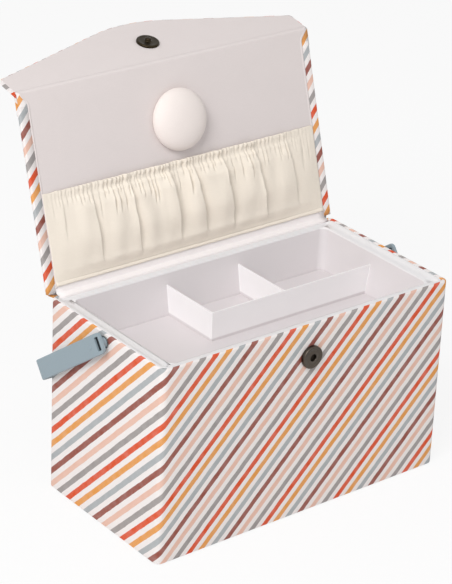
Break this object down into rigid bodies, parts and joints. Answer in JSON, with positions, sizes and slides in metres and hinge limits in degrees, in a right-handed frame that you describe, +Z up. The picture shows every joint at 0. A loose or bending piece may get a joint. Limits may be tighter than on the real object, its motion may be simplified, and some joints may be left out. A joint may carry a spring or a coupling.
{
  "type": "sewing box",
  "caption": "Cloth-covered sewing box with a hinged lid, envelope flap, magnetic snap, lined lid with pocket and pin cushion, lift-out tray and swing handle.",
  "frame": {"origin": "middle of the underside of the box", "axes": "+Z up, +Y towards the hinge at the back, +X to the right seen from the front"},
  "size_m": [0.2838, 0.244, 0.3167],
  "materials": {
    "greyboard": "plain board",
    "liner_card": "white paper-faced card",
    "base_paper": "matte paper",
    "striped_cloth": "woven cotton with painted diagonal stripes",
    "plain_lining": "smooth plain-weave lining",
    "cream_cloth": "soft gathered cotton",
    "cushion_cloth": "smooth stretched cloth",
    "tray_plastic": "milky moulded plastic",
    "handle_plastic": "satin moulded plastic",
    "pin_plastic": "dark moulded plastic",
    "eyelet_metal": "plated steel",
    "snap_metal": "dark antique plating",
    "washer_metal": "plated steel"
  },
  "bodies": {
    "box": {"front_board": "greyboard", "back_board": "greyboard", "left_board": "greyboard", "right_board": "greyboard", "base_board": "greyboard", "outer_cover": "striped_cloth", "base_sheet": "base_paper", "floor_card": "liner_card", "front_liner": "liner_card", "back_liner": "liner_card", "left_liner": "liner_card", "right_liner": "liner_card", "eyelet_left": "eyelet_metal", "eyelet_right": "eyelet_metal", "snap_socket": "snap_metal", "snap_socket_washer": "washer_metal", "hinge_cloth": "striped_cloth"},
    "lid": {"lid_board": "greyboard", "lid_cover": "striped_cloth", "lid_lining": "plain_lining", "hinge_lining": "cream_cloth", "fold_cloth": "striped_cloth", "fold_lining": "plain_lining", "pocket": "cream_cloth", "pocket_elastic": "cream_cloth", "pocket_binding": "cream_cloth", "cushion_card": "greyboard", "cushion_pad": "cushion_cloth"},
    "flap": {"flap_board": "greyboard", "flap_cover": "striped_cloth", "flap_lining": "plain_lining", "snap_stud": "snap_metal", "snap_stud_washer": "washer_metal"},
    "handle": {"handle": "handle_plastic", "handle_pin_left": "pin_plastic", "handle_pin_right": "pin_plastic"},
    "tray": {"tray": "tray_plastic"}
  },
  "joints": [
    {"name": "lid_hinge", "type": "hinge", "parent": "box", "child": "lid", "pos_m": [0, 0.0705, 0.1603], "axis": [1, 0, 0], "range_deg": [0, 106.5]},
    {"name": "flap_fold", "type": "hinge", "parent": "lid", "child": "flap", "pos_m": [0, 0.11359, 0.30294], "axis": [1, 0, 0], "range_deg": [0, 152.2]},
    {"name": "handle_swing", "type": "hinge", "parent": "box", "child": "handle", "pos_m": [0, 0, 0.153], "axis": [1, 0, 0], "range_deg": [0, 55]},
    {"name": "tray_lift", "type": "slide", "parent": "box", "child": "tray", "axis": [0, 0, 1], "range_m": [0, 0.085]}
  ]
}
